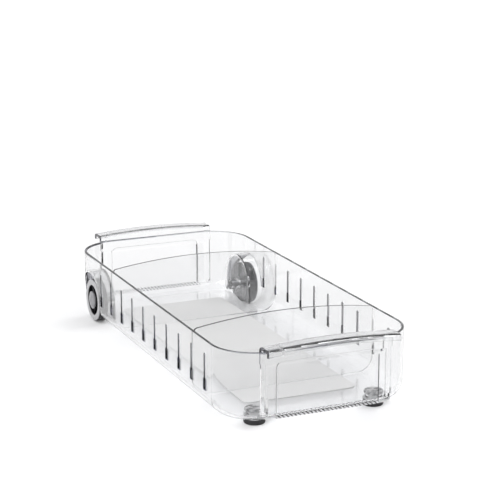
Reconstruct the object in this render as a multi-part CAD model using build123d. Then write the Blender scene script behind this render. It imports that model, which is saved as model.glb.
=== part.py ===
"""Roll-out drawer organizer for a refrigerator shelf.

A long clear tray on two rear wheels and two front feet, with a pull lip at each end,
two lift-out dividers that ride in slots in the side walls, and a loose liner mat.

Millimetres.  The origin is on the shelf, under the middle of the tray.
+X is to the right, +Y to the back and +Z up; the front pull lip faces -Y.
"""
from build123d import *
import math
import os

# ---------------------------------------------------------------- tray
TRAY_WIDTH = 152.0            # over the side walls
TRAY_LENGTH = 345.5           # over the end walls, without the lips
RIM_HEIGHT = 58.2             # rim above the shelf
UNDERSIDE_HEIGHT = 4.4        # the tray's underside above the shelf
WALL = 2.0
FLOOR_THICKNESS = 2.0
CORNER_RADIUS = 34.0          # outside, in plan
HEEL_RADIUS = 13.0            # outside, where the walls turn into the floor
RIM_ROUND = 0.6

# ---------------------------------------------------------------- divider slots
SLOT_COUNT = 10               # per side wall
SLOT_PITCH = 25.4
SLOT_ROW_CENTRE = -12.6       # Y of the middle of the row
SLOT_BOTTOM = 20.4
SLOT_HEIGHT = 27.8
SLOT_WIDTH = 2.8
WINDOW_HEIGHT = 8.0           # the wider catch window at the foot of each slot
WINDOW_WIDTH = 4.0

# ---------------------------------------------------------------- pull lips and grip panels
LIP_HALF_WIDTH = 52.5
LIP_OVERHANG = 13.0           # beyond the end wall
LIP_RISE = 4.8                # top of the lip above the rim, at its ends
LIP_ARCH = 2.5                # further rise at the middle
LIP_THICKNESS = 1.8
LIP_SKIRT = 4.8               # height of the turned-down edge
LIP_BACK_ROUND = 3.6
LIP_FRONT_ROUND = 2.4
LIP_ROOT_DEPTH = 8.0          # how far the lip's leg runs down inside the wall
PANEL_HALF_WIDTH = 52.0
PANEL_SLOPE = 2.0             # width of the panel's sloping side
PANEL_ROUND = 0.8             # where the sloping side meets the panel's face
PANEL_RAISE = 1.5
PANEL_BOTTOM = 8.8
PANEL_CORNER = 5.0
PANEL_POCKET_TOP = 49.0       # the wall behind the panel is hollowed up to here
PANEL_POCKET_ROUND = 1.5
FIELD_HALF_WIDTH = 41.0       # raised field in the middle of the panel
FIELD_TOP = 50.8
FIELD_RAISE = 1.0
FIELD_CORNER = 5.0
FIELD_ROUND = 0.4

# ---------------------------------------------------------------- wheels and wells
WHEEL_RADIUS = 18.2
WHEEL_END_INSET = 41.4        # axle from the rear wall's outer face
WHEEL_WIDTH = 9.0
WHEEL_INSET = 2.2             # wheel's outer face inside the side wall's outer face
WELL_CLEARANCE = 6.2          # round the tyre
WELL_SIDE_GAP = 1.5           # between the wheel and the well's inner wall
TREAD_THICKNESS = 2.2
FLANGE_WIDTH = 1.5            # rim flange that covers the tread's outer edge
FLANGE_DROP = 0.5             # flange below the tread surface
DISH_RADIUS = 13.1            # inside of the wheel's face ring
WHEEL_WEB = 1.2               # thin wall at the back of the pockets
SPOKE_COUNT = 6
SPOKE_WIDTH = 2.4
SPOKE_SETBACK = 2.6           # spokes below the wheel's face
HUB_RADIUS = 7.0
HUB_RECESS_RADIUS = 5.6       # recess in the hub for the axle's head and the cap
HUB_RECESS_DEPTH = 4.0
CAP_RADIUS = 7.5
CAP_RISE = 2.3
CAP_BRIM = 0.7
CAP_RING_WALL = 1.0
CAP_RING_LENGTH = 1.6
AXLE_RADIUS = 2.5
AXLE_HEAD_RADIUS = 4.2
AXLE_HEAD_THICKNESS = 1.6
AXLE_GRIP = 7.5               # length held in the tray's boss
BOSS_RADIUS = 5.0
COLLAR_RADIUS = 4.5
BOSS_END_WALL = 1.2
RUNNING_FIT = 0.06            # radial, between axle and hub
PRESS_SEAT = 0.02             # radial, between parts that are pushed together
THRUST_GAP = 0.25             # at each side of the hub

# ---------------------------------------------------------------- front feet
FOOT_SIDE_INSET = 28.0        # foot from the side wall's outer face
FOOT_END_INSET = 20.0         # foot from the front wall's outer face
FOOT_PAD_RADIUS = 8.0
FOOT_PAD_ROUND = 1.0
FOOT_BOSS_RADIUS = 6.4
FOOT_BOSS_HEIGHT = 3.0
FOOT_SPIGOT_RADIUS = 4.0
FOOT_HEAD_RADIUS = 7.4
FOOT_HEAD_THICKNESS = 2.0
FOOT_SHANK_RADIUS = 2.0
FOOT_PAD_SKIN = 1.6           # rubber left under the shank's end

# ---------------------------------------------------------------- dividers
DIVIDER_SLOTS = {"front_divider": 8, "rear_divider": 1}   # slot numbers, from the rear
DIVIDER_THICKNESS = 2.0
DIVIDER_SIDE_GAP = 0.3        # to the side walls
DIVIDER_FLOOR_GAP = 0.3       # over the liner
DIVIDER_CORNER = 12.0
DIVIDER_SHOULDER = 3.0        # radius of the upper corners
DIVIDER_SHOULDER_HEIGHT = 58.6
DIVIDER_ARCH = 6.0
TAB_HEIGHT = 6.8
TAB_REACH_GAP = 0.4           # tab's end inside the side wall's outer face
TAB_SEAT_GAP = 0.1

# ---------------------------------------------------------------- liner
LINER_WIDTH = 92.0
LINER_LENGTH = 262.0
LINER_THICKNESS = 0.8
LINER_CORNER = 6.0

# ---------------------------------------------------------------- sizes that follow
HALF_WIDTH = TRAY_WIDTH / 2
HALF_LENGTH = TRAY_LENGTH / 2
FLOOR_TOP = UNDERSIDE_HEIGHT + FLOOR_THICKNESS
INNER_HALF_WIDTH = HALF_WIDTH - WALL
INNER_HALF_LENGTH = HALF_LENGTH - WALL
LINER_TOP = FLOOR_TOP + LINER_THICKNESS
WHEEL_FACE_X = HALF_WIDTH - WHEEL_INSET
WHEEL_BACK_X = WHEEL_FACE_X - WHEEL_WIDTH
WELL_FACE_X = WHEEL_BACK_X - WELL_SIDE_GAP
WHEEL_Y = HALF_LENGTH - WHEEL_END_INSET
WELL_RADIUS = WHEEL_RADIUS + WELL_CLEARANCE
BOSS_END_X = WELL_FACE_X - AXLE_GRIP - BOSS_END_WALL
HUB_RECESS_X = WHEEL_FACE_X - HUB_RECESS_DEPTH
FOOT_X = HALF_WIDTH - FOOT_SIDE_INSET
FOOT_Y = FOOT_END_INSET - HALF_LENGTH
FOOT_BOSS_TOP = FLOOR_TOP + FOOT_BOSS_HEIGHT
LIP_TOP = RIM_HEIGHT + LIP_RISE + LIP_ARCH
SMALL = 1.0                   # overrun that carries a cut past a face


def slot_y(number):
    """Y of a slot, counted from the rear."""
    return SLOT_ROW_CENTRE + SLOT_PITCH * ((SLOT_COUNT - 1) / 2 - number)


def block(x0, x1, y0, y1, z0, z1):
    """A box between opposite corners."""
    box = Box(x1 - x0, y1 - y0, z1 - z0, align=(Align.MIN, Align.MIN, Align.MIN))
    return Pos(x0, y0, z0) * box


def rod_x(radius, x0, x1, y, z):
    """A cylinder along X."""
    rod = Cylinder(radius, x1 - x0, align=(Align.CENTER, Align.CENTER, Align.MIN))
    return Pos(x0, y, z) * (Rot(0, 90, 0) * rod)


def rod_z(radius, z0, z1, x, y):
    """An upright cylinder."""
    rod = Cylinder(radius, z1 - z0, align=(Align.CENTER, Align.CENTER, Align.MIN))
    return Pos(x, y, z0) * rod


def ring_x(outer, inner, x0, x1, y, z):
    """A sleeve along X."""
    return rod_x(outer, x0, x1, y, z) - rod_x(inner, x0 - SMALL, x1 + SMALL, y, z)


def mirrored(shape):
    """The same shape on the other side of the middle plane."""
    return mirror(shape, about=Plane.YZ)


def upright_block(width, length, radius, z0, z1):
    """An upright block, rounded in plan."""
    plan = RectangleRounded(width, length, radius)
    return Pos(0, 0, z0) * extrude(plan, z1 - z0)


# ================================================================ tray moulding
def tray_shell():
    """Open box with rounded corners and a rounded heel all round."""
    outside = upright_block(TRAY_WIDTH, TRAY_LENGTH, CORNER_RADIUS, UNDERSIDE_HEIGHT, RIM_HEIGHT)
    outside = fillet(outside.faces().sort_by(Axis.Z)[0].edges(), HEEL_RADIUS)
    inside = upright_block(2 * INNER_HALF_WIDTH, 2 * INNER_HALF_LENGTH, CORNER_RADIUS - WALL,
                           FLOOR_TOP, RIM_HEIGHT + SMALL)
    inside = fillet(inside.faces().sort_by(Axis.Z)[0].edges(), HEEL_RADIUS - WALL)
    shell = outside - inside
    rim = shell.faces().sort_by(Axis.Z)[-1]
    return fillet(rim.edges(), RIM_ROUND)


def slot_cutter():
    """One slot across the tray: a narrow slot with a round top over a wider window."""
    top_centre = SLOT_BOTTOM + SLOT_HEIGHT - SLOT_WIDTH / 2
    span = TRAY_WIDTH + 2 * SMALL
    stem = block(-span / 2, span / 2, -SLOT_WIDTH / 2, SLOT_WIDTH / 2, SLOT_BOTTOM, top_centre)
    top = rod_x(SLOT_WIDTH / 2, -span / 2, span / 2, 0, top_centre)
    window = block(-span / 2, span / 2, -WINDOW_WIDTH / 2, WINDOW_WIDTH / 2,
                   SLOT_BOTTOM, SLOT_BOTTOM + WINDOW_HEIGHT)
    return stem + top + window


def grip_panel():
    """Raised panel on the front wall with sloping sides; it runs straight down past the heel."""
    wall_y = -HALF_LENGTH
    inner_y = wall_y + HEEL_RADIUS
    plan = make_face(Polyline(
        (-PANEL_HALF_WIDTH, inner_y),
        (-PANEL_HALF_WIDTH, wall_y),
        (-PANEL_HALF_WIDTH + PANEL_SLOPE, wall_y - PANEL_RAISE),
        (PANEL_HALF_WIDTH - PANEL_SLOPE, wall_y - PANEL_RAISE),
        (PANEL_HALF_WIDTH, wall_y),
        (PANEL_HALF_WIDTH, inner_y),
        close=True))
    pad = Pos(0, 0, PANEL_BOTTOM) * extrude(plan, RIM_HEIGHT - PANEL_BOTTOM)
    pad = fillet(lower_side_edges(pad), PANEL_CORNER)
    pad = fillet(pad.edges().filter_by(Axis.Z).group_by(Axis.Y)[0], PANEL_ROUND)
    field_plan = Rectangle(2 * FIELD_HALF_WIDTH, FIELD_TOP - PANEL_BOTTOM)
    upper_corners = field_plan.vertices().group_by(Axis.Y)[-1]
    field_plan = fillet(upper_corners, FIELD_CORNER)
    field = extrude(field_plan, HEEL_RADIUS)
    field = fillet(field.faces().sort_by(Axis.Z)[-1].edges(), FIELD_ROUND)
    field = Rot(90, 0, 0) * field
    field = Pos(0, inner_y - PANEL_RAISE - FIELD_RAISE, (FIELD_TOP + PANEL_BOTTOM) / 2) * field
    return pad + field


def lower_side_edges(pad):
    """The two bottom edges of the panel's flat sides, which run front to back."""
    low = pad.edges().filter_by(Axis.Y).group_by(Axis.Z)[0]
    return low


def panel_hollow():
    """The inside of the tray, cut out of the panel's block."""
    inside = upright_block(2 * INNER_HALF_WIDTH, 2 * INNER_HALF_LENGTH, CORNER_RADIUS - WALL,
                           FLOOR_TOP, RIM_HEIGHT + SMALL)
    return fillet(inside.faces().sort_by(Axis.Z)[0].edges(), HEEL_RADIUS - WALL)


def panel_pocket():
    """Hollow behind the panel, so that the front wall keeps its thickness there."""
    half = PANEL_HALF_WIDTH - PANEL_SLOPE - WALL
    front = -INNER_HALF_LENGTH - PANEL_RAISE
    pocket = block(-half, half, front, -INNER_HALF_LENGTH + HEEL_RADIUS - WALL,
                   PANEL_BOTTOM + WALL, PANEL_POCKET_TOP)
    return fillet(pocket.faces().sort_by(Axis.Y)[0].edges(), PANEL_POCKET_ROUND)


def pull_lip():
    """Hooked lip over the front wall, arched along its width by a large turning radius."""
    wall_y = -HALF_LENGTH
    edge_y = wall_y - LIP_OVERHANG
    under = LIP_TOP - LIP_THICKNESS
    outline = Polyline(
        (wall_y + WALL, LIP_TOP - LIP_RISE - LIP_ROOT_DEPTH),
        (wall_y + WALL, LIP_TOP),
        (edge_y, LIP_TOP),
        (edge_y, LIP_TOP - LIP_SKIRT),
        (edge_y + LIP_THICKNESS, LIP_TOP - LIP_SKIRT),
        (edge_y + LIP_THICKNESS, under),
        (wall_y, under),
        (wall_y, LIP_TOP - LIP_RISE - LIP_ROOT_DEPTH),
        close=True)
    section = make_face(outline)
    section = round_corner(section, wall_y + WALL, LIP_TOP, LIP_BACK_ROUND)
    section = round_corner(section, wall_y, under, LIP_BACK_ROUND - LIP_THICKNESS)
    section = round_corner(section, edge_y, LIP_TOP, LIP_FRONT_ROUND)
    section = round_corner(section, edge_y + LIP_THICKNESS, under, LIP_FRONT_ROUND - LIP_THICKNESS)
    turn_radius = (LIP_HALF_WIDTH ** 2 + LIP_ARCH ** 2) / (2 * LIP_ARCH)
    half_turn = math.degrees(math.asin(LIP_HALF_WIDTH / turn_radius)) + 1.0
    centre = LIP_TOP - turn_radius
    face = Plane(origin=(0, 0, 0), x_dir=(0, 1, 0), z_dir=(1, 0, 0)) * section
    turn_axis = Axis((0, 0, centre), (0, 1, 0))
    face = face.rotate(turn_axis, -half_turn)
    lip = revolve(face, axis=turn_axis, revolution_arc=2 * half_turn)
    keep = block(-LIP_HALF_WIDTH, LIP_HALF_WIDTH, edge_y - SMALL, wall_y + WALL + SMALL,
                 0, LIP_TOP + SMALL)
    return lip & keep


def round_corner(face, y, z, radius):
    """Round the corner of a section that lies at (y, z)."""
    corner = face.vertices().sort_by_distance((y, z, 0))[0]
    return fillet(corner, radius)


def end_fittings():
    """Grip panel and pull lip of the front end."""
    return (grip_panel() - panel_hollow()) + pull_lip()


def well_block():
    """Wall round the right wheel well, with the axle's boss and collar."""
    outer_x = HALF_WIDTH - WALL / 2
    inner_x = WELL_FACE_X - WALL
    arch = rod_x(WELL_RADIUS + WALL, inner_x, outer_x, WHEEL_Y, WHEEL_RADIUS)
    legs = block(inner_x, outer_x, WHEEL_Y - WELL_RADIUS - WALL, WHEEL_Y + WELL_RADIUS + WALL,
                 UNDERSIDE_HEIGHT, WHEEL_RADIUS)
    boss = rod_x(BOSS_RADIUS, BOSS_END_X, inner_x + WALL / 2, WHEEL_Y, WHEEL_RADIUS)
    inside = upright_block(TRAY_WIDTH, TRAY_LENGTH, CORNER_RADIUS, UNDERSIDE_HEIGHT, RIM_HEIGHT)
    inside = fillet(inside.faces().sort_by(Axis.Z)[0].edges(), HEEL_RADIUS)
    return ((arch + legs) & inside) + boss


def well_cutter():
    """The space of the right wheel well, open at the side and at the bottom."""
    far_x = HALF_WIDTH + SMALL
    arch = rod_x(WELL_RADIUS, WELL_FACE_X, far_x, WHEEL_Y, WHEEL_RADIUS)
    legs = block(WELL_FACE_X, far_x, WHEEL_Y - WELL_RADIUS, WHEEL_Y + WELL_RADIUS,
                 0, WHEEL_RADIUS)
    return arch + legs


def well_collar():
    """Short collar that the wheel's hub runs against."""
    return rod_x(COLLAR_RADIUS, WELL_FACE_X - WALL / 2, WHEEL_BACK_X - THRUST_GAP,
                 WHEEL_Y, WHEEL_RADIUS)


def axle_hole():
    """Blind hole for the right axle."""
    return rod_x(AXLE_RADIUS + PRESS_SEAT, WELL_FACE_X - AXLE_GRIP, WHEEL_BACK_X,
                 WHEEL_Y, WHEEL_RADIUS)


def foot_boss(x):
    """Raised ring in the floor that holds a front foot."""
    return rod_z(FOOT_BOSS_RADIUS, UNDERSIDE_HEIGHT + FLOOR_THICKNESS / 2, FOOT_BOSS_TOP, x, FOOT_Y)


def foot_hole(x):
    """Hole through the floor and the ring."""
    return rod_z(FOOT_SPIGOT_RADIUS + PRESS_SEAT, 0, FOOT_BOSS_TOP + SMALL, x, FOOT_Y)


def bin_body():
    """The whole tray moulding."""
    body = tray_shell()
    front = end_fittings()
    body = body + front + mirror(front, about=Plane.XZ)
    pocket = panel_pocket()
    body = body - pocket - mirror(pocket, about=Plane.XZ)
    block_right = well_block()
    body = body + block_right + mirrored(block_right)
    cutter = well_cutter()
    body = body - cutter - mirrored(cutter)
    collar = well_collar()
    body = body + collar + mirrored(collar)
    hole = axle_hole()
    body = body - hole - mirrored(hole)
    for x in (-FOOT_X, FOOT_X):
        body = body + foot_boss(x)
    for x in (-FOOT_X, FOOT_X):
        body = body - foot_hole(x)
    slot = slot_cutter()
    for number in range(SLOT_COUNT):
        body = body - Pos(0, slot_y(number), 0) * slot
    return body


# ================================================================ wheel pieces, right side
def tyre():
    """Soft tread band, with a flat inside."""
    inner = WHEEL_RADIUS - TREAD_THICKNESS
    band = ring_x(WHEEL_RADIUS, inner + PRESS_SEAT, WHEEL_BACK_X, WHEEL_FACE_X - FLANGE_WIDTH,
                  WHEEL_Y, WHEEL_RADIUS)
    edges = band.edges().filter_by(GeomType.CIRCLE).group_by(SortBy.RADIUS)[-1]
    return fillet(edges, TREAD_THICKNESS / 4)


def wheel_core():
    """Wheel with a face ring, a dish with ribbed pockets and a recessed hub."""
    seat = WHEEL_RADIUS - TREAD_THICKNESS
    y = WHEEL_Y
    z = WHEEL_RADIUS
    drum = rod_x(seat, WHEEL_BACK_X, WHEEL_FACE_X, y, z)
    flange = rod_x(WHEEL_RADIUS - FLANGE_DROP, WHEEL_FACE_X - FLANGE_WIDTH, WHEEL_FACE_X, y, z)
    core = drum + flange
    core = core - rod_x(DISH_RADIUS, WHEEL_BACK_X + WHEEL_WEB, WHEEL_FACE_X + SMALL, y, z)
    core = core + rod_x(HUB_RADIUS, WHEEL_BACK_X, WHEEL_FACE_X, y, z)
    for number in range(SPOKE_COUNT):
        core = core + spoke(number * 360 / SPOKE_COUNT + 20)
    core = core - rod_x(AXLE_RADIUS + RUNNING_FIT, WHEEL_BACK_X - SMALL, WHEEL_FACE_X + SMALL, y, z)
    core = core - rod_x(HUB_RECESS_RADIUS, HUB_RECESS_X, WHEEL_FACE_X + SMALL, y, z)
    return core


def spoke(angle):
    """One rib from the hub to the ring."""
    rib = block(WHEEL_BACK_X, WHEEL_FACE_X - SPOKE_SETBACK, -SPOKE_WIDTH / 2, SPOKE_WIDTH / 2,
                HUB_RADIUS - SMALL, DISH_RADIUS + SMALL)
    return Pos(0, WHEEL_Y, WHEEL_RADIUS) * (Rot(angle, 0, 0) * rib)


def hub_cap():
    """Domed cap with a ring that snaps into the hub's recess."""
    ring_outer = HUB_RECESS_RADIUS - PRESS_SEAT
    ring_inner = ring_outer - CAP_RING_WALL
    crown_height = CAP_RISE - CAP_BRIM
    crown_radius = (CAP_RADIUS ** 2 + crown_height ** 2) / (2 * crown_height)
    crown_centre = CAP_RISE - crown_radius
    crown_half = crown_centre + math.sqrt(crown_radius ** 2 - (CAP_RADIUS / 2) ** 2)
    outline = Polyline((CAP_RISE, 0), (0, 0), (0, ring_inner), (-CAP_RING_LENGTH, ring_inner),
                       (-CAP_RING_LENGTH, ring_outer), (0, ring_outer), (0, CAP_RADIUS),
                       (CAP_BRIM, CAP_RADIUS))
    crown = ThreePointArc((CAP_BRIM, CAP_RADIUS), (crown_half, CAP_RADIUS / 2), (CAP_RISE, 0))
    profile = make_face([outline, crown])
    cap = revolve(profile, axis=Axis.X)
    return Pos(WHEEL_FACE_X, WHEEL_Y, WHEEL_RADIUS) * cap


def axle():
    """Headed pin, pressed into the tray's boss; its head keeps the wheel on."""
    y = WHEEL_Y
    z = WHEEL_RADIUS
    head_x = HUB_RECESS_X + THRUST_GAP
    shank = rod_x(AXLE_RADIUS, WELL_FACE_X - AXLE_GRIP, head_x + SMALL, y, z)
    head = rod_x(AXLE_HEAD_RADIUS, head_x, head_x + AXLE_HEAD_THICKNESS, y, z)
    outer_edge = head.edges().filter_by(GeomType.CIRCLE).sort_by(Axis.X)[-1]
    head = fillet(outer_edge, AXLE_HEAD_THICKNESS / 4)
    return shank + head


# ================================================================ feet
def foot_pad(x):
    """Rubber foot with a spigot that fills the hole in the floor."""
    pad = rod_z(FOOT_PAD_RADIUS, 0, UNDERSIDE_HEIGHT, x, FOOT_Y)
    pad = fillet(pad.edges().sort_by(Axis.Z)[0], FOOT_PAD_ROUND)
    spigot = rod_z(FOOT_SPIGOT_RADIUS, UNDERSIDE_HEIGHT - SMALL, FOOT_BOSS_TOP, x, FOOT_Y)
    bore = rod_z(FOOT_SHANK_RADIUS + PRESS_SEAT, FOOT_PAD_SKIN, FOOT_BOSS_TOP + SMALL, x, FOOT_Y)
    return pad + spigot - bore


def foot_plug(x):
    """Headed plug pushed down through the ring to hold the rubber foot."""
    head = rod_z(FOOT_HEAD_RADIUS, FOOT_BOSS_TOP, FOOT_BOSS_TOP + FOOT_HEAD_THICKNESS, x, FOOT_Y)
    head = fillet(head.edges().sort_by(Axis.Z)[-1], FOOT_HEAD_THICKNESS / 2)
    shank = rod_z(FOOT_SHANK_RADIUS, FOOT_PAD_SKIN + PRESS_SEAT, FOOT_BOSS_TOP + SMALL, x, FOOT_Y)
    return head + shank


# ================================================================ dividers and liner
def divider(y):
    """Plate with an arched top, round lower corners and a tab at each side."""
    half = INNER_HALF_WIDTH - DIVIDER_SIDE_GAP
    bottom = LINER_TOP + DIVIDER_FLOOR_GAP
    top = DIVIDER_SHOULDER_HEIGHT
    lower_side = bottom + DIVIDER_CORNER
    arch = ThreePointArc((-half, top), (0, top + DIVIDER_ARCH), (half, top))
    right = Line((half, top), (half, lower_side))
    right_corner = RadiusArc((half, lower_side), (half - DIVIDER_CORNER, bottom), DIVIDER_CORNER)
    base = Line((half - DIVIDER_CORNER, bottom), (-half + DIVIDER_CORNER, bottom))
    left_corner = RadiusArc((-half + DIVIDER_CORNER, bottom), (-half, lower_side), DIVIDER_CORNER)
    left = Line((-half, lower_side), (-half, top))
    outline = make_face([arch, right, right_corner, base, left_corner, left])
    shoulders = [v for v in outline.vertices() if abs(v.Y - top) < 0.01]
    outline = fillet(shoulders, DIVIDER_SHOULDER)
    tab_half = HALF_WIDTH - TAB_REACH_GAP
    tab_low = SLOT_BOTTOM + TAB_SEAT_GAP
    tab = Pos(0, tab_low + TAB_HEIGHT / 2) * Rectangle(2 * tab_half, TAB_HEIGHT)
    tab = fillet(tab.vertices(), DIVIDER_THICKNESS / 4)
    plate = extrude(outline + tab, DIVIDER_THICKNESS / 2, both=True)
    return Pos(0, y, 0) * (Rot(90, 0, 0) * plate)


def liner_mat():
    """Thin mat that lies on the floor."""
    return upright_block(LINER_WIDTH, LINER_LENGTH, LINER_CORNER, FLOOR_TOP, LINER_TOP)


# ================================================================ all pieces
def all_pieces():
    pieces = {"bin_body": bin_body(), "liner_mat": liner_mat()}
    for name, number in DIVIDER_SLOTS.items():
        pieces[name] = divider(slot_y(number))
    makers = {"tyre": tyre, "wheel_core": wheel_core, "hub_cap": hub_cap, "axle": axle}
    for name, maker in makers.items():
        right = maker()
        pieces["right_" + name] = right
        pieces["left_" + name] = mirrored(right)
    for side, x in (("left", -FOOT_X), ("right", FOOT_X)):
        pieces[side + "_foot_pad"] = foot_pad(x)
        pieces[side + "_foot_plug"] = foot_plug(x)
    return pieces


os.makedirs("parts", exist_ok=True)
for node, shape in all_pieces().items():
    export_step(shape, "parts/" + node + ".step")
    size = shape.bounding_box().size
    print(node, "solids", len(shape.solids()), "volume", round(shape.volume, 1),
          "size", round(size.X, 2), round(size.Y, 2), round(size.Z, 2))
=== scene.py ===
"""Looks of the clear roll-out drawer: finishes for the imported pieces, light, floor and camera.

Metres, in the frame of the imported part: +X right, +Y to the back, +Z up, shelf at z = 0.
No piece is added: every visible piece is a packed one with a finish of its own.
"""
import math
from types import SimpleNamespace

import bpy
from mathutils import Matrix, Vector

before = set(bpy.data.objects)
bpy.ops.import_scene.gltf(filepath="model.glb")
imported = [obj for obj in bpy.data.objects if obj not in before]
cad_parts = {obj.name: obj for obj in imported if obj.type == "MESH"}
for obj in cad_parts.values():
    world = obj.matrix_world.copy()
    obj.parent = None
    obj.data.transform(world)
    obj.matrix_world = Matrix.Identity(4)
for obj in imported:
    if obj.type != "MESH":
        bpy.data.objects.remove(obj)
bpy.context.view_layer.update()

# ---------------------------------------------------------------- camera, from the photograph
PHOTO_WIDTH = 500             # pixels
FOCAL_PIXELS = 1639.8
CAMERA_PLACE = Vector((-0.5016, -1.1655, 0.4162))
LOOK_DIRECTION = Vector((0.39297, 0.88445, -0.25163))
CAMERA_ROLL = math.radians(0.096)
SENSOR_MM = 36.0
CLIP_START = 0.01

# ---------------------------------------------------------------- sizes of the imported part
MM = 0.001
RIM_HEIGHT = 58.2 * MM
HALF_WIDTH = 76 * MM
SLOT_LOW, WINDOW_TOP, SLOT_HIGH = 20.4 * MM, 28.4 * MM, 48.2 * MM
SLOT_PITCH, SLOT_OFFSET, WINDOW_HALF = 25.4 * MM, 0.1 * MM, 2 * MM
LIP_SIDE = 52.5 * MM
FIELD_SIDE = 41 * MM
POCKET_SIDE, POCKET_TOP = 48 * MM, 49 * MM
WHEEL_Y, WHEEL_Z, ARCH_RADIUS = 131.35 * MM, 18.2 * MM, 24.4 * MM
WHEEL_FACE = 73.8 * MM

# Soft bands over which a mask goes from 0 to 1: places along x, y or z, or their absolute
# values, then parts of the flat normal, and for GRAZING, Layer Weight's facing.
LEFT_HALF = (1 * MM, -1 * MM)
IN_SIDE_WALL = (HALF_WIDTH - 2.15 * MM, HALF_WIDTH - 1.95 * MM)
OUTER_HALF_OF_WALL = (HALF_WIDTH - 1.1 * MM, HALF_WIDTH - 0.9 * MM)
SLOTTED_LENGTH = (136 * MM, 134 * MM)
REAR_CORNER = (100 * MM, 140 * MM)
OUTSIDE_LIP = (LIP_SIDE - 4 * MM, LIP_SIDE + 2 * MM)
BELOW_WINDOW_TOP = (WINDOW_TOP + 0.1 * MM, WINDOW_TOP - 0.1 * MM)
ABOVE_WINDOW = (WINDOW_TOP, WINDOW_TOP + 0.2 * MM)
ABOVE_RIM = (RIM_HEIGHT, RIM_HEIGHT + 1 * MM)
ABOVE_HOOK_TIP = (46 * MM, 47 * MM)
LIP_END, LIP_HEIGHT = (173.5 * MM, 174.5 * MM), (56 * MM, 57 * MM)
FIELD_FACE, FIELD_RISE = (175.0 * MM, 175.15 * MM), (174.2 * MM, 174.4 * MM)
IN_WELL, REAR_OF_ARCH = (63.6 * MM, 64 * MM), (122 * MM, 140 * MM)
BESIDE_FIELD = (FIELD_SIDE - 0.5 * MM, FIELD_SIDE + 0.5 * MM)
HATCH_END = (170 * MM, 171 * MM)
PANEL_END, PANEL_FOOT = (166 * MM, 167 * MM), (11.4 * MM, 10.6 * MM)
PANEL_SIDE = (53 * MM, 52.5 * MM)
POCKET_INSIDE = (POCKET_SIDE + 0.3 * MM, POCKET_SIDE + 0.1 * MM)
POCKET_STEP_LOW, POCKET_STEP_HIGH = 170.8 * MM, 172.2 * MM
FOOT_SPIGOT = (3.9 * MM, 4.3 * MM)
WHEEL_RING = (WHEEL_FACE - 0.9 * MM, WHEEL_FACE - 0.2 * MM)
FACES_SIDEWAYS = (0.7, 0.85)
FACES_ALONG = (0.6, 0.3)
ARCH_FACE = (0.5, 0.2)
DIVIDER_EDGE_FACE = (0.7, 0.4)
GRAZING = (0.80, 0.95)

# ---------------------------------------------------------------- tones
CLEAR = (0.937, 0.939, 0.942)
# Painted shade: the clear plastic's colour darkens where it is seen edge-on, at its silhouettes.
GRAZING_SHADE = (0.40, 0.405, 0.42)
# Painted shade: the rim's dark line, lighter on the right and darkest round the rear left corner.
RIM_SHADE_RIGHT, RIM_SHADE_LEFT, RIM_SHADE_REAR_LEFT = (0.42, 0.43, 0.45), (0.20, 0.21, 0.24), (0.02, 0.02, 0.03)
# Painted shade on the slots' cut faces: darkest on the outer half of the left wall, light on the
# right.
SLOT_SHADE_LEFT_INNER, SLOT_SHADE_LEFT_OUTER = (0.80, 0.81, 0.84), (0.10, 0.105, 0.12)
SLOT_SHADE_RIGHT_INNER, SLOT_SHADE_RIGHT_OUTER = (0.42, 0.42, 0.44), (1.0, 1.0, 1.0)
# Painted shade: near black in the low windows of the slots.
WINDOW_SHADE = (0.006, 0.006, 0.02)
# Painted shade on the hooked lip ends: grey on the right, near black on the left.
LIP_END_SHADE_RIGHT, LIP_END_SHADE_LEFT = (0.5, 0.5, 0.52), (0.03, 0.03, 0.04)
# Painted shade: the dark line on the right edge of the raised fields.
FIELD_EDGE_SHADE = (0.04, 0.04, 0.045)
# Painted shade: the grey arch over each wheel well.
ARCH_SHADE = (0.16, 0.16, 0.18)
HATCH_TONE = (0.10, 0.10, 0.11)
# Painted shade: the dividers' thin edge faces are darker.
DIVIDER_EDGE_SHADE = (0.16, 0.16, 0.18)
LINER_TONES = (0.665, 0.665, 0.665), (0.72, 0.718, 0.715)
# Painted shade: the wheel's recessed dish is painted nearly black.
WHEEL_DISH_SHADE = (0.012, 0.012, 0.014)
WHEEL_RING_TONES = (0.40, 0.40, 0.41), (0.54, 0.54, 0.55)
CAP_TONES = (0.24, 0.24, 0.25), (0.32, 0.32, 0.33)
PLUG_TONES = (0.10, 0.10, 0.105), (0.42, 0.42, 0.425)
RUBBER_TONES = (0.012, 0.012, 0.014), (0.04, 0.04, 0.042)
# Painted light: the spigot's top is near white to lift the shade where the pad meets the tray.
SPIGOT_PAINTED_LIGHT = (0.85, 0.85, 0.86)
PIN_TONES = (0.55, 0.55, 0.56), (0.68, 0.68, 0.69)
FLOOR_TONE = (0.86, 0.86, 0.865, 1)
WHITE = (1, 1, 1)
OVERHEAD_TONE = (0.58, 0.58, 0.60)
PLAIN_LIGHT = (0.75, 0.75, 0.75)

# How hazy the masked places of the clear plastic are, as multiples of one roughness.
FULL_HAZE = 0.45
SLOT_HAZE, LIP_HAZE, PANEL_FOOT_HAZE, DIVIDER_HAZE = 2.0, 0.22, 1.6, 0.05
CLEAR_IOR = 1.53
LIGHT_PAST_CLEAR = (0.965, 0.967, 0.97)      # share of the lamps' light that passes a wall
LIGHT_PAST_LINER = (0.85, 0.85, 0.85)
LINER_SPECULAR = 0.35
BROAD_MOTTLE, SMALL_MOTTLE = 45, 260         # noise scales
FINE_DETAIL, BROAD_DETAIL = 3, 2             # noise detail
NOISE_SPAN = (0.3, 0.7)                      # what the noise mostly stays between
DUST_BAND, PATCH_BAND = (0.45, 0.75), (0.38, 0.62)


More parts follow.
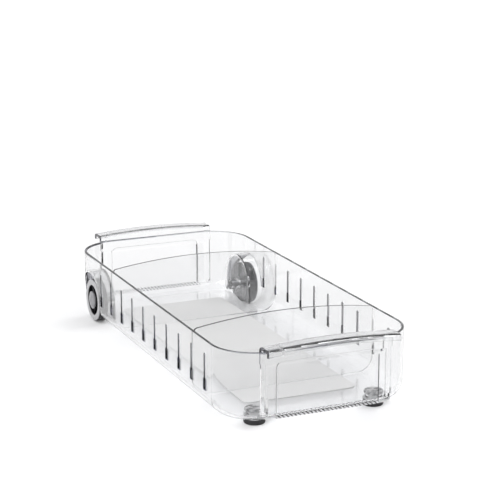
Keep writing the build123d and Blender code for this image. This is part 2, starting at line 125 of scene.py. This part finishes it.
# ================================================================ helpers for materials
def new_material(name):
    """An empty node material with its Principled shader."""
    mat = bpy.data.materials.new(name)
    mat.use_nodes = True
    tree = mat.node_tree
    return mat, tree, tree.nodes["Principled BSDF"]


def node(tree, kind, **values):
    """A node with its properties set."""
    n = tree.nodes.new(kind)
    for key, value in values.items():
        setattr(n, key, value)
    return n


def math_node(tree, operation, a, b=None, clamp=False):
    """A Math node; a and b are sockets or numbers."""
    n = node(tree, "ShaderNodeMath", operation=operation, use_clamp=clamp)
    for i, value in enumerate((a, b)):
        if value is None:
            continue
        if isinstance(value, (int, float)):
            n.inputs[i].default_value = value
        else:
            tree.links.new(value, n.inputs[i])
    return n.outputs[0]


def smooth_step(tree, value, start, end):
    """0 at start, 1 at end, smooth between; start may be the higher one."""
    n = node(tree, "ShaderNodeMapRange", interpolation_type="SMOOTHSTEP")
    tree.links.new(value, n.inputs["Value"])
    n.inputs["From Min"].default_value = start
    n.inputs["From Max"].default_value = end
    return n.outputs["Result"]


def between(tree, value, low, high, soft=0.1 * MM):
    """1 from low to high, 0 outside."""
    return math_node(tree, "MULTIPLY", smooth_step(tree, value, low - soft, low),
                     smooth_step(tree, value, high + soft, high))


def all_of(tree, *masks):
    """Where all the masks hold."""
    result = masks[0]
    for mask in masks[1:]:
        result = math_node(tree, "MULTIPLY", result, mask)
    return result


def any_of(tree, *masks):
    """Where at least one of the masks holds."""
    result = masks[0]
    for mask in masks[1:]:
        result = math_node(tree, "MAXIMUM", result, mask)
    return result


def outside(tree, mask):
    """Where a mask doesn't hold."""
    return math_node(tree, "SUBTRACT", 1.0, mask)


def mix_colour(tree, factor, a, b):
    """A mix of two colours; each is a socket or a colour."""
    n = node(tree, "ShaderNodeMix", data_type="RGBA")
    for socket, value in ((n.inputs["Factor"], factor), (n.inputs["A"], a), (n.inputs["B"], b)):
        if isinstance(value, bpy.types.NodeSocket):
            tree.links.new(value, socket)
        else:
            socket.default_value = (*value, 1)
    return n.outputs["Result"]


def split_vector(tree, vector):
    """The x, y and z of a vector."""
    split = node(tree, "ShaderNodeSeparateXYZ")
    tree.links.new(vector, split.inputs[0])
    return split.outputs[0], split.outputs[1], split.outputs[2]


def object_place(tree):
    """The point being shaded, in the part's own frame."""
    return node(tree, "ShaderNodeTexCoord").outputs["Object"]


def flat_normal(tree):
    """The flat normal's x, y and z."""
    return split_vector(tree, node(tree, "ShaderNodeNewGeometry").outputs["True Normal"])


# ================================================================ shared effects
def build_moulded_grain():
    """Fine uneven gloss of a moulded surface: a height and a roughness that vary over it."""
    group = bpy.data.node_groups.new("moulded_grain", "ShaderNodeTree")
    face = group.interface
    for name in ("Grain Scale", "Roughness Low", "Roughness High", "Mottle Scale"):
        face.new_socket(name, in_out="INPUT", socket_type="NodeSocketFloat")
    for name in ("Height", "Roughness", "Mottle"):
        face.new_socket(name, in_out="OUTPUT", socket_type="NodeSocketFloat")
    given = group.nodes.new("NodeGroupInput")
    gives = group.nodes.new("NodeGroupOutput")
    place = object_place(group)
    fine = node(group, "ShaderNodeTexNoise")
    fine.inputs["Detail"].default_value = FINE_DETAIL
    group.links.new(place, fine.inputs["Vector"])
    group.links.new(given.outputs["Grain Scale"], fine.inputs["Scale"])
    broad = node(group, "ShaderNodeTexNoise")
    broad.inputs["Detail"].default_value = BROAD_DETAIL
    group.links.new(place, broad.inputs["Vector"])
    group.links.new(given.outputs["Mottle Scale"], broad.inputs["Scale"])
    span = node(group, "ShaderNodeMapRange")
    span.inputs["From Min"].default_value, span.inputs["From Max"].default_value = NOISE_SPAN
    group.links.new(broad.outputs["Fac"], span.inputs["Value"])
    group.links.new(given.outputs["Roughness Low"], span.inputs["To Min"])
    group.links.new(given.outputs["Roughness High"], span.inputs["To Max"])
    group.links.new(fine.outputs["Fac"], gives.inputs["Height"])
    group.links.new(span.outputs["Result"], gives.inputs["Roughness"])
    group.links.new(broad.outputs["Fac"], gives.inputs["Mottle"])
    return group


MOULDED_GRAIN = build_moulded_grain()


def add_grain(tree, shader, scale, roughness, bump, depth, mottle_scale=BROAD_MOTTLE):
    """The moulded grain on a shader: its roughness and a faint bump. Gives the grain back."""
    grain = node(tree, "ShaderNodeGroup", node_tree=MOULDED_GRAIN)
    grain.inputs["Grain Scale"].default_value = scale
    grain.inputs["Roughness Low"].default_value = roughness[0]
    grain.inputs["Roughness High"].default_value = roughness[1]
    grain.inputs["Mottle Scale"].default_value = mottle_scale
    tree.links.new(grain.outputs["Roughness"], shader.inputs["Roughness"])
    raised = node(tree, "ShaderNodeBump")
    raised.inputs["Strength"].default_value = bump
    raised.inputs["Distance"].default_value = depth
    tree.links.new(grain.outputs["Height"], raised.inputs["Height"])
    tree.links.new(raised.outputs["Normal"], shader.inputs["Normal"])
    return grain.outputs


def let_light_by(tree, shader, share):
    """The lamps reach what is behind: a share of their light passes."""
    lets_by = node(tree, "ShaderNodeBsdfTransparent")
    lets_by.inputs["Color"].default_value = (*share, 1)
    path = node(tree, "ShaderNodeLightPath")
    pick = node(tree, "ShaderNodeMixShader")
    tree.links.new(path.outputs["Is Shadow Ray"], pick.inputs[0])
    tree.links.new(shader.outputs[0], pick.inputs[1])
    tree.links.new(lets_by.outputs[0], pick.inputs[2])
    tree.links.new(pick.outputs[0], tree.nodes["Material Output"].inputs["Surface"])


# ================================================================ masks on the tray moulding
def tray_place(tree):
    """Where the shaded point is on the tray, and which way it faces, for the masks below."""
    x, y, z = split_vector(tree, object_place(tree))
    nx, ny, nz = flat_normal(tree)
    return SimpleNamespace(
        x=x, y=y, z=z,
        side=math_node(tree, "ABSOLUTE", x),
        end=math_node(tree, "ABSOLUTE", y),
        sideways=math_node(tree, "ABSOLUTE", nx),
        left=smooth_step(tree, x, *LEFT_HALF))


def rim_painted_shade(tree, at, colour):
    """Painted shade: a dark line along the rim, lighter on the right, darkest and widest round the
    rear left corner.
    """
    rear_left = all_of(tree, at.left, smooth_step(tree, at.y, *REAR_CORNER),
                       smooth_step(tree, at.side, *OUTSIDE_LIP))
    top = RIM_HEIGHT + 0.2 * MM
    soft = 0.3 * MM
    rim = any_of(tree, between(tree, at.z, RIM_HEIGHT - 0.5 * MM, top, soft),
                 all_of(tree, rear_left, between(tree, at.z, RIM_HEIGHT - 1.3 * MM, top, soft)))
    left_tone = mix_colour(tree, rear_left, RIM_SHADE_LEFT, RIM_SHADE_REAR_LEFT)
    return mix_colour(tree, rim, colour, mix_colour(tree, at.left, RIM_SHADE_RIGHT, left_tone))


def slot_painted_shade(tree, at, colour):
    """Painted shade on the cut faces of the slots, darkest on the outer half at the left, and
    near-black painted shade in their windows. Gives the lighter cut faces as a mask too.
    """
    in_wall = smooth_step(tree, at.side, *IN_SIDE_WALL)
    in_length = smooth_step(tree, at.end, *SLOTTED_LENGTH)
    cut = all_of(tree, smooth_step(tree, at.sideways, *FACES_ALONG), in_wall, in_length,
                 between(tree, at.z, SLOT_LOW - 0.3 * MM, SLOT_HIGH + 0.5 * MM))
    outer_half = smooth_step(tree, at.side, *OUTER_HALF_OF_WALL)
    left_line = mix_colour(tree, outer_half, SLOT_SHADE_LEFT_INNER, SLOT_SHADE_LEFT_OUTER)
    right_line = mix_colour(tree, outer_half, SLOT_SHADE_RIGHT_INNER, SLOT_SHADE_RIGHT_OUTER)
    colour = mix_colour(tree, cut, colour, mix_colour(tree, at.left, right_line, left_line))

    # Painted shade: the windows low in the slots, and a frame round those on the left, are near
    # black.
    window = all_of(tree, cut, smooth_step(tree, at.z, *BELOW_WINDOW_TOP))
    from_slot = math_node(tree, "PINGPONG", math_node(tree, "ADD", at.y, -SLOT_OFFSET),
                          SLOT_PITCH / 2)
    window_frame = all_of(tree, between(tree, from_slot, -1 * MM, WINDOW_HALF + 0.9 * MM),
                          at.left, in_wall, in_length,
                          between(tree, at.z, SLOT_LOW - 0.7 * MM, WINDOW_TOP + 0.2 * MM, 0.2 * MM))
    colour = mix_colour(tree, any_of(tree, window, window_frame), colour, WINDOW_SHADE)

    light_cut = all_of(tree, cut, any_of(tree, outside(tree, at.left), outside(tree, outer_half)),
                       smooth_step(tree, at.z, *ABOVE_WINDOW))
    return colour, light_cut


def lip_painted_shade(tree, at, colour):
    """Painted shade on the hooked end faces of the pull lips, near black on the left and grey on
    the right. Gives the hazy rest of the lips as a mask too.
    """
    end_face = smooth_step(tree, at.sideways, *FACES_SIDEWAYS)
    lip_end = all_of(tree, any_of(tree, end_face, at.left),
                     between(tree, at.side, LIP_SIDE - 0.9 * MM, LIP_SIDE + 0.2 * MM),
                     any_of(tree, smooth_step(tree, at.z, *ABOVE_RIM),
                            all_of(tree, end_face, smooth_step(tree, at.z, *ABOVE_HOOK_TIP))))
    tone = mix_colour(tree, at.left, LIP_END_SHADE_RIGHT, LIP_END_SHADE_LEFT)
    hazy = all_of(tree, smooth_step(tree, at.end, *LIP_END),
                  smooth_step(tree, at.z, *LIP_HEIGHT), outside(tree, lip_end))
    return mix_colour(tree, lip_end, colour, tone), hazy


def field_painted_shade(tree, at, colour):
    """Painted shade: a dark line on the right edge of the raised fields. Gives their hazy left edge
    as a mask too.
    """
    right_edge = all_of(tree, smooth_step(tree, at.end, *FIELD_FACE),
                        between(tree, at.x, FIELD_SIDE - 1.1 * MM, FIELD_SIDE + 0.1 * MM),
                        between(tree, at.z, 11 * MM, 46 * MM, 1 * MM))
    left_edge = all_of(tree, smooth_step(tree, at.end, *FIELD_RISE),
                       between(tree, at.x, -FIELD_SIDE - 0.1 * MM, -FIELD_SIDE + 0.6 * MM))
    return mix_colour(tree, right_edge, colour, FIELD_EDGE_SHADE), left_edge


def arch_painted_shade(tree, at, colour):
    """Painted shade: a grey arch over each wheel, stronger towards the rear."""
    across = math_node(tree, "ADD", at.end, -WHEEL_Y)
    up = math_node(tree, "ADD", at.z, -WHEEL_Z)
    squares = math_node(tree, "ADD", math_node(tree, "MULTIPLY", across, across),
                        math_node(tree, "MULTIPLY", up, up))
    from_axle = math_node(tree, "SQRT", squares)
    arch = all_of(tree, between(tree, from_axle, ARCH_RADIUS - 0.3 * MM, ARCH_RADIUS + 0.3 * MM),
                  smooth_step(tree, at.side, *IN_WELL), smooth_step(tree, at.y, *REAR_OF_ARCH),
                  smooth_step(tree, at.sideways, *ARCH_FACE))
    return mix_colour(tree, arch, colour, ARCH_SHADE)


def panel_foot_colour(tree, at, colour):
    """Fine slanted hatch along the foot of the panels. Gives the hazy rest as a mask too."""
    slant = math_node(tree, "PINGPONG", math_node(tree, "ADD", at.x, at.z), 1.6 * MM)
    off_hatch = any_of(tree, smooth_step(tree, at.side, *BESIDE_FIELD),
                       smooth_step(tree, slant, 0.4 * MM, 1.0 * MM))
    hatch = all_of(tree, smooth_step(tree, at.end, *HATCH_END),
                   between(tree, at.z, 8.4 * MM, 11.0 * MM, 0.4 * MM), outside(tree, off_hatch))
    hazy = all_of(tree, smooth_step(tree, at.end, *PANEL_END),
                  smooth_step(tree, at.z, *PANEL_FOOT),
                  smooth_step(tree, at.side, *PANEL_SIDE), off_hatch)
    return mix_colour(tree, hatch, colour, HATCH_TONE), hazy


def pocket_step(tree, at):
    """The soft step round the hollow behind a grip panel."""
    beside = between(tree, at.side, POCKET_SIDE - 1.6 * MM, POCKET_SIDE + 0.1 * MM)
    above = between(tree, at.z, POCKET_TOP - 1.6 * MM, POCKET_TOP + 0.1 * MM)
    return all_of(tree, any_of(tree, beside, above),
                  between(tree, at.end, POCKET_STEP_LOW, POCKET_STEP_HIGH),
                  smooth_step(tree, at.side, *POCKET_INSIDE))


# ================================================================ finishes
def tray_painted_shade(tree):
    """Colour, haze and solidity of the tray: painted shade as dark rim, slot and lip edges on clear
    walls.
    """
    at = tray_place(tree)
    colour = rim_painted_shade(tree, at, CLEAR)
    colour, light_cut = slot_painted_shade(tree, at, colour)
    colour, lip = lip_painted_shade(tree, at, colour)
    colour, field_left = field_painted_shade(tree, at, colour)
    colour = arch_painted_shade(tree, at, colour)
    colour, panel_foot = panel_foot_colour(tree, at, colour)
    haze = any_of(tree, math_node(tree, "MULTIPLY", light_cut, SLOT_HAZE),
                  math_node(tree, "MULTIPLY", lip, LIP_HAZE),
                  math_node(tree, "MULTIPLY", panel_foot, PANEL_FOOT_HAZE), field_left)
    return colour, haze, outside(tree, pocket_step(tree, at))


def divider_painted_shade(tree):
    """Colour and haze of a divider: its thin edge faces are darker, as painted shade."""
    nx, ny, nz = flat_normal(tree)
    edge = smooth_step(tree, math_node(tree, "ABSOLUTE", ny), *DIVIDER_EDGE_FACE)
    haze = math_node(tree, "MULTIPLY", edge, DIVIDER_HAZE)
    return mix_colour(tree, edge, CLEAR, DIVIDER_EDGE_SHADE), haze, None


def clear_plastic(name, tint):
    """Clear glossy plastic, darkened as painted shade where it is seen edge-on; tint gives its
    colour with painted shade, its haze, and its solidity or None.
    """
    mat, tree, shader = new_material(name)
    shader.inputs["Transmission Weight"].default_value = 1.0
    shader.inputs["IOR"].default_value = CLEAR_IOR
    grain = add_grain(tree, shader, scale=900, roughness=(0.02, 0.05), bump=0.03, depth=0.02 * MM)
    colour, haze, solid = tint(tree)
    # Painted shade: darker where the surface is seen edge-on.
    facing = node(tree, "ShaderNodeLayerWeight").outputs["Facing"]
    colour = mix_colour(tree, smooth_step(tree, facing, *GRAZING), colour, GRAZING_SHADE)
    tree.links.new(colour, shader.inputs["Base Color"])
    if solid is not None:
        tree.links.new(solid, shader.inputs["Alpha"])
    rough = any_of(tree, grain["Roughness"], math_node(tree, "MULTIPLY", haze, FULL_HAZE))
    tree.links.new(rough, shader.inputs["Roughness"])
    let_light_by(tree, shader, LIGHT_PAST_CLEAR)
    return mat


def matt_liner():
    """Light matt mat with a fine grain."""
    mat, tree, shader = new_material("matt_liner")
    grain = add_grain(tree, shader, scale=2600, roughness=(0.62, 0.75), bump=0.25, depth=0.1 * MM)
    tree.links.new(mix_colour(tree, grain["Mottle"], *LINER_TONES), shader.inputs["Base Color"])
    shader.inputs["Specular IOR Level"].default_value = LINER_SPECULAR
    let_light_by(tree, shader, LIGHT_PAST_LINER)
    return mat


def satin_plastic(name, tones, roughness):
    """Satin moulded plastic, mottled in tone."""
    mat, tree, shader = new_material(name)
    grain = add_grain(tree, shader, scale=1600, roughness=roughness, bump=0.15, depth=0.05 * MM,
                      mottle_scale=SMALL_MOTTLE)
    patch = smooth_step(tree, grain["Mottle"], *PATCH_BAND)
    tree.links.new(mix_colour(tree, patch, *tones), shader.inputs["Base Color"])
    return mat


def wheel_plastic():
    """Light satin face ring over a dish painted nearly black as shade in its recess."""
    mat, tree, shader = new_material("wheel_grey")
    grain = add_grain(tree, shader, scale=1600, roughness=(0.22, 0.36), bump=0.15, depth=0.05 * MM)
    x, y, z = split_vector(tree, object_place(tree))
    face = smooth_step(tree, math_node(tree, "ABSOLUTE", x), *WHEEL_RING)
    ring = mix_colour(tree, grain["Mottle"], *WHEEL_RING_TONES)
    tree.links.new(mix_colour(tree, face, WHEEL_DISH_SHADE, ring), shader.inputs["Base Color"])
    return mat


def rubber(name, spigot=None):
    """Dark rubber with faint dust; spigot is the tone of what stands up in the floor's ring,
    painted near white as light to lift the shade where it meets the tray.
    """
    mat, tree, shader = new_material(name)
    grain = add_grain(tree, shader, scale=2200, roughness=(0.5, 0.7), bump=0.3, depth=0.1 * MM)
    dust = smooth_step(tree, grain["Mottle"], *DUST_BAND)
    colour = mix_colour(tree, dust, *RUBBER_TONES)
    if spigot:
        x, y, z = split_vector(tree, object_place(tree))
        colour = mix_colour(tree, smooth_step(tree, z, *FOOT_SPIGOT), colour, spigot)
    tree.links.new(colour, shader.inputs["Base Color"])
    return mat


def brushed_pin():
    """Brushed steel of the axles."""
    mat, tree, shader = new_material("brushed_pin")
    shader.inputs["Metallic"].default_value = 1.0
    grain = add_grain(tree, shader, scale=1400, roughness=(0.25, 0.4), bump=0.1, depth=0.05 * MM)
    tree.links.new(mix_colour(tree, grain["Mottle"], *PIN_TONES), shader.inputs["Base Color"])
    return mat


# ================================================================ the pieces
def give(material, *names):
    """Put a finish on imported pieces."""
    for name in names:
        for piece_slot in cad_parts[name].material_slots:
            piece_slot.material = material


give(clear_plastic("clear_tray", tray_painted_shade), "bin_body")
give(clear_plastic("clear_divider", divider_painted_shade), "front_divider", "rear_divider")
give(matt_liner(), "liner_mat")
give(wheel_plastic(), "left_wheel_core", "right_wheel_core")
give(satin_plastic("cap_grey", CAP_TONES, roughness=(0.25, 0.4)), "left_hub_cap", "right_hub_cap")
give(satin_plastic("plug_grey", PLUG_TONES, roughness=(0.15, 0.35)),
     "left_foot_plug", "right_foot_plug")
give(rubber("tyre_rubber"), "left_tyre", "right_tyre")
give(rubber("foot_rubber", SPIGOT_PAINTED_LIGHT), "left_foot_pad", "right_foot_pad")
give(brushed_pin(), "left_axle", "right_axle")


# ================================================================ floor, world and lamps
FLOOR_SIZE = 8
FLOOR_ROUGHNESS = 0.45
FLOOR_GLOW, FLOOR_GLOW_PER_METRE = 0.07, 0.14
OVERHEAD = (0.10, 0.55)       # heights of the view direction over which the sky dims


def make_floor():
    """Large pale floor that shows white and keeps the shadow."""
    bpy.ops.object.select_all(action="DESELECT")
    bpy.ops.mesh.primitive_plane_add(size=FLOOR_SIZE, location=(0, 0, 0))
    floor = bpy.context.object
    floor.name = "floor"
    mat, tree, shader = new_material("pale_floor")
    shader.inputs["Base Color"].default_value = FLOOR_TONE
    shader.inputs["Roughness"].default_value = FLOOR_ROUGHNESS
    path = node(tree, "ShaderNodeLightPath").outputs
    seen = math_node(tree, "ADD", path["Is Camera Ray"], path["Is Glossy Ray"], True)
    seen = math_node(tree, "ADD", seen, path["Is Transmission Ray"], True)
    far = node(tree, "ShaderNodeVectorMath", operation="LENGTH")
    tree.links.new(object_place(tree), far.inputs[0])
    further = math_node(tree, "MULTIPLY", far.outputs["Value"], FLOOR_GLOW_PER_METRE)
    level = math_node(tree, "ADD", further, FLOOR_GLOW)
    shader.inputs["Emission Color"].default_value = (*WHITE, 1)
    tree.links.new(math_node(tree, "MULTIPLY", seen, level), shader.inputs["Emission Strength"])
    floor.data.materials.append(mat)


def make_world():
    """White behind the object, a dimmer sky overhead for gloss, plain light for the rest."""
    world = bpy.data.worlds.new("studio")
    world.use_nodes = True
    bpy.context.scene.world = world
    tree = world.node_tree
    back = tree.nodes["Background"]
    direction = node(tree, "ShaderNodeTexCoord").outputs["Generated"]
    x, y, height = split_vector(tree, direction)
    sky = mix_colour(tree, smooth_step(tree, height, *OVERHEAD), WHITE, OVERHEAD_TONE)
    path = node(tree, "ShaderNodeLightPath").outputs
    bent = math_node(tree, "ADD", path["Is Glossy Ray"], path["Is Transmission Ray"], True)
    plain = mix_colour(tree, bent, PLAIN_LIGHT, sky)
    shown = mix_colour(tree, path["Is Camera Ray"], plain, WHITE)
    tree.links.new(shown, back.inputs["Color"])
    back.inputs["Strength"].default_value = 1.0


def soft_lamp(name, place, size, power):
    """A square soft lamp aimed at the middle of the drawer."""
    light = bpy.data.lights.new(name, "AREA")
    light.shape = "SQUARE"
    light.size = size
    light.energy = power
    lamp = bpy.data.objects.new(name, light)
    bpy.context.scene.collection.objects.link(lamp)
    lamp.location = place
    lamp.rotation_euler = (-Vector(place)).to_track_quat("-Z", "Y").to_euler()


def make_camera():
    """The photograph's camera."""
    data = bpy.data.cameras.new("photo_camera")
    data.sensor_width = SENSOR_MM
    data.lens = FOCAL_PIXELS * SENSOR_MM / PHOTO_WIDTH
    data.clip_start = CLIP_START
    camera = bpy.data.objects.new("photo_camera", data)
    bpy.context.scene.collection.objects.link(camera)
    forward = LOOK_DIRECTION.normalized()
    right = forward.cross(Vector((0, 0, 1))).normalized()
    up = right.cross(forward)
    turned_right = right * math.cos(CAMERA_ROLL) + up * math.sin(CAMERA_ROLL)
    turned_up = up * math.cos(CAMERA_ROLL) - right * math.sin(CAMERA_ROLL)
    turn = Matrix((turned_right, turned_up, -forward)).transposed()
    camera.matrix_world = Matrix.Translation(CAMERA_PLACE) @ turn.to_4x4()
    bpy.context.scene.camera = camera


make_floor()
make_world()
soft_lamp("key_lamp", (-0.9, -0.4, 1.3), size=0.8, power=9)
soft_lamp("fill_lamp", (1.1, 0.5, 1.2), size=0.9, power=7)
make_camera()
bpy.context.scene.view_settings.view_transform = "Standard"
